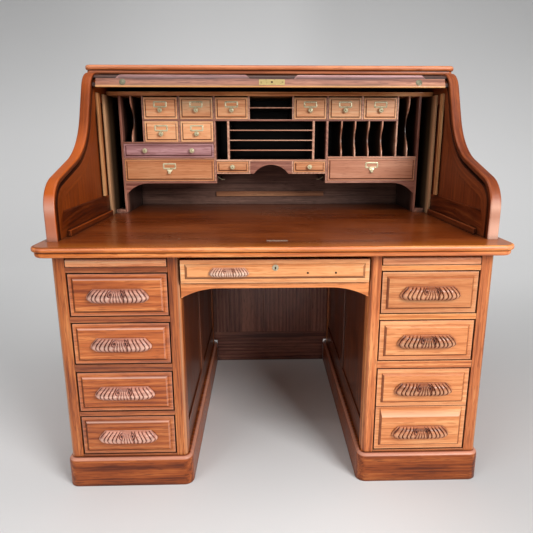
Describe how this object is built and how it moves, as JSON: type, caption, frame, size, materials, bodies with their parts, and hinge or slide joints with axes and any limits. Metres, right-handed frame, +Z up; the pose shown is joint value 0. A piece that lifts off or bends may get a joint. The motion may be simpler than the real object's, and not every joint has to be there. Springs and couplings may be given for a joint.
{
  "type": "roll-top desk",
  "caption": "Antique wooden roll-top desk with an S-curve tambour, pigeonhole gallery, twin drawer pedestals, writing slides, carved pulls and brass fittings.",
  "frame": {"origin": "centre of the footprint, on the floor", "axes": "+X to the sitter's right, +Y towards the back, +Z up"},
  "size_m": [1.331, 0.956, 1.299],
  "materials": {
    "case_wood": "satin varnish",
    "drawer_wood": "satin varnish",
    "dark_wood": "satin varnish",
    "gallery_wood": "satin varnish",
    "tambour_wood": "satin varnish",
    "brass": "aged"
  },
  "bodies": {
    "desk": {"case_back": "case_wood", "desktop": "case_wood", "drawer_runners": "case_wood", "gallery_case": "gallery_wood", "gallery_partitions": "gallery_wood", "kneehole_apron": "case_wood", "kneehole_back": "gallery_wood", "pedestal_frame_left": "case_wood", "pedestal_frame_right": "case_wood", "pedestal_panels_left": "case_wood", "pedestal_panels_right": "case_wood", "plinth_left": "dark_wood", "plinth_right": "dark_wood", "roll_end_left": "case_wood", "roll_end_right": "case_wood", "strike_plate": "brass", "top_board": "case_wood"},
    "drawer_left_4": {"drawer_left_4": "drawer_wood"},
    "drawer_left_3": {"drawer_left_3": "drawer_wood"},
    "drawer_left_2": {"drawer_left_2": "drawer_wood"},
    "drawer_left_1": {"drawer_left_1": "drawer_wood"},
    "drawer_right_1": {"drawer_right_1": "drawer_wood"},
    "drawer_right_2": {"drawer_right_2": "drawer_wood"},
    "file_drawer_right": {"file_drawer_right": "drawer_wood"},
    "centre_drawer": {"centre_drawer": "drawer_wood", "centre_drawer_lock": "brass"},
    "writing_slide_left": {"writing_slide_left": "case_wood"},
    "writing_slide_right": {"writing_slide_right": "case_wood"},
    "gallery_drawer_top_left_far": {"gallery_drawer_top_left_far": "gallery_wood", "gallery_brass_top_left_far": "brass"},
    "gallery_drawer_top_left_mid": {"gallery_drawer_top_left_mid": "gallery_wood", "gallery_brass_top_left_mid": "brass"},
    "gallery_drawer_top_left_near": {"gallery_drawer_top_left_near": "gallery_wood", "gallery_brass_top_left_near": "brass"},
    "gallery_drawer_top_right_near": {"gallery_drawer_top_right_near": "gallery_wood", "gallery_brass_top_right_near": "brass"},
    "gallery_drawer_top_right_mid": {"gallery_drawer_top_right_mid": "gallery_wood", "gallery_brass_top_right_mid": "brass"},
    "gallery_drawer_top_right_far": {"gallery_drawer_top_right_far": "gallery_wood", "gallery_brass_top_right_far": "brass"},
    "gallery_drawer_second_left_far": {"gallery_drawer_second_left_far": "gallery_wood", "gallery_brass_second_left_far": "brass"},
    "gallery_drawer_second_left_mid": {"gallery_drawer_second_left_mid": "gallery_wood", "gallery_brass_second_left_mid": "brass"},
    "gallery_drawer_wide_thin_left": {"gallery_drawer_wide_thin_left": "gallery_wood", "gallery_brass_wide_thin_left": "brass"},
    "gallery_drawer_wide_deep_left": {"gallery_drawer_wide_deep_left": "gallery_wood", "gallery_brass_wide_deep_left": "brass"},
    "gallery_drawer_slim_left": {"gallery_drawer_slim_left": "gallery_wood", "gallery_brass_slim_left": "brass"},
    "gallery_drawer_slim_right": {"gallery_drawer_slim_right": "gallery_wood", "gallery_brass_slim_right": "brass"},
    "gallery_drawer_wide_deep_right": {"gallery_drawer_wide_deep_right": "gallery_wood", "gallery_brass_wide_deep_right": "brass"},
    "tambour_lead": {"lead_rail": "tambour_wood", "roll_lock": "brass"},
    "tambour_top": {"tambour_top_slats": "tambour_wood"},
    "tambour_back": {"tambour_back_slats": "tambour_wood"},
    "tambour_bend": {"tambour_bend_slats": "tambour_wood"},
    "tambour_turn": {"tambour_turn_slats": "tambour_wood"}
  },
  "joints": [
    {"name": "drawer_left_4_slide", "type": "slide", "parent": "desk", "child": "drawer_left_4", "axis": [0, -1, 0], "range_m": [0, 0.42]},
    {"name": "drawer_left_3_slide", "type": "slide", "parent": "desk", "child": "drawer_left_3", "axis": [0, -1, 0], "range_m": [0, 0.42]},
    {"name": "drawer_left_2_slide", "type": "slide", "parent": "desk", "child": "drawer_left_2", "axis": [0, -1, 0], "range_m": [0, 0.42]},
    {"name": "drawer_left_1_slide", "type": "slide", "parent": "desk", "child": "drawer_left_1", "axis": [0, -1, 0], "range_m": [0, 0.42]},
    {"name": "drawer_right_1_slide", "type": "slide", "parent": "desk", "child": "drawer_right_1", "axis": [0, -1, 0], "range_m": [0, 0.42]},
    {"name": "drawer_right_2_slide", "type": "slide", "parent": "desk", "child": "drawer_right_2", "axis": [0, -1, 0], "range_m": [0, 0.42]},
    {"name": "file_drawer_right_slide", "type": "slide", "parent": "desk", "child": "file_drawer_right", "axis": [0, -1, 0], "range_m": [0, 0.42]},
    {"name": "centre_drawer_slide", "type": "slide", "parent": "desk", "child": "centre_drawer", "axis": [0, -1, 0], "range_m": [0, 0.33]},
    {"name": "writing_slide_left_slide", "type": "slide", "parent": "desk", "child": "writing_slide_left", "axis": [0, -1, 0], "range_m": [0, 0.35]},
    {"name": "writing_slide_right_slide", "type": "slide", "parent": "desk", "child": "writing_slide_right", "axis": [0, -1, 0], "range_m": [0, 0.35]},
    {"name": "gallery_drawer_top_left_far_slide", "type": "slide", "parent": "desk", "child": "gallery_drawer_top_left_far", "axis": [0, -1, 0], "range_m": [0, 0.15]},
    {"name": "gallery_drawer_top_left_mid_slide", "type": "slide", "parent": "desk", "child": "gallery_drawer_top_left_mid", "axis": [0, -1, 0], "range_m": [0, 0.15]},
    {"name": "gallery_drawer_top_left_near_slide", "type": "slide", "parent": "desk", "child": "gallery_drawer_top_left_near", "axis": [0, -1, 0], "range_m": [0, 0.15]},
    {"name": "gallery_drawer_top_right_near_slide", "type": "slide", "parent": "desk", "child": "gallery_drawer_top_right_near", "axis": [0, -1, 0], "range_m": [0, 0.15]},
    {"name": "gallery_drawer_top_right_mid_slide", "type": "slide", "parent": "desk", "child": "gallery_drawer_top_right_mid", "axis": [0, -1, 0], "range_m": [0, 0.15]},
    {"name": "gallery_drawer_top_right_far_slide", "type": "slide", "parent": "desk", "child": "gallery_drawer_top_right_far", "axis": [0, -1, 0], "range_m": [0, 0.15]},
    {"name": "gallery_drawer_second_left_far_slide", "type": "slide", "parent": "desk", "child": "gallery_drawer_second_left_far", "axis": [0, -1, 0], "range_m": [0, 0.15]},
    {"name": "gallery_drawer_second_left_mid_slide", "type": "slide", "parent": "desk", "child": "gallery_drawer_second_left_mid", "axis": [0, -1, 0], "range_m": [0, 0.15]},
    {"name": "gallery_drawer_wide_thin_left_slide", "type": "slide", "parent": "desk", "child": "gallery_drawer_wide_thin_left", "axis": [0, -1, 0], "range_m": [0, 0.15]},
    {"name": "gallery_drawer_wide_deep_left_slide", "type": "slide", "parent": "desk", "child": "gallery_drawer_wide_deep_left", "axis": [0, -1, 0], "range_m": [0, 0.15]},
    {"name": "gallery_drawer_slim_left_slide", "type": "slide", "parent": "desk", "child": "gallery_drawer_slim_left", "axis": [0, -1, 0], "range_m": [0, 0.15]},
    {"name": "gallery_drawer_slim_right_slide", "type": "slide", "parent": "desk", "child": "gallery_drawer_slim_right", "axis": [0, -1, 0], "range_m": [0, 0.15]},
    {"name": "gallery_drawer_wide_deep_right_slide", "type": "slide", "parent": "desk", "child": "gallery_drawer_wide_deep_right", "axis": [0, -1, 0], "range_m": [0, 0.15]},
    {"name": "tambour_lead_slide", "type": "slide", "parent": "desk", "child": "tambour_lead", "axis": [0, -0.3907, -0.9205], "range_m": [0, 0.016]},
    {"name": "tambour_top_slide", "type": "slide", "parent": "desk", "child": "tambour_top", "axis": [0, -1, 0], "range_m": [0, 0.0161]},
    {"name": "tambour_back_slide", "type": "slide", "parent": "desk", "child": "tambour_back", "axis": [0, 0, 1], "range_m": [0, 0.0161]},
    {"name": "tambour_bend_hinge", "type": "hinge", "parent": "desk", "child": "tambour_bend", "pos_m": [0, 0.06644, 1.20982], "axis": [1, 0, 0], "range_deg": [0, 20.1]},
    {"name": "tambour_turn_hinge", "type": "hinge", "parent": "desk", "child": "tambour_turn", "pos_m": [0, 0.39044, 1.21016], "axis": [1, 0, 0], "range_deg": [0, 20.1]}
  ],
  "couplings": [
    {"joint": "tambour_top_slide", "follows": "tambour_lead_slide", "ratio": 1},
    {"joint": "tambour_back_slide", "follows": "tambour_lead_slide", "ratio": 1},
    {"joint": "tambour_bend_hinge", "follows": "tambour_lead_slide", "rad_per_m": 21.655},
    {"joint": "tambour_turn_hinge", "follows": "tambour_lead_slide", "rad_per_m": 21.817}
  ]
}
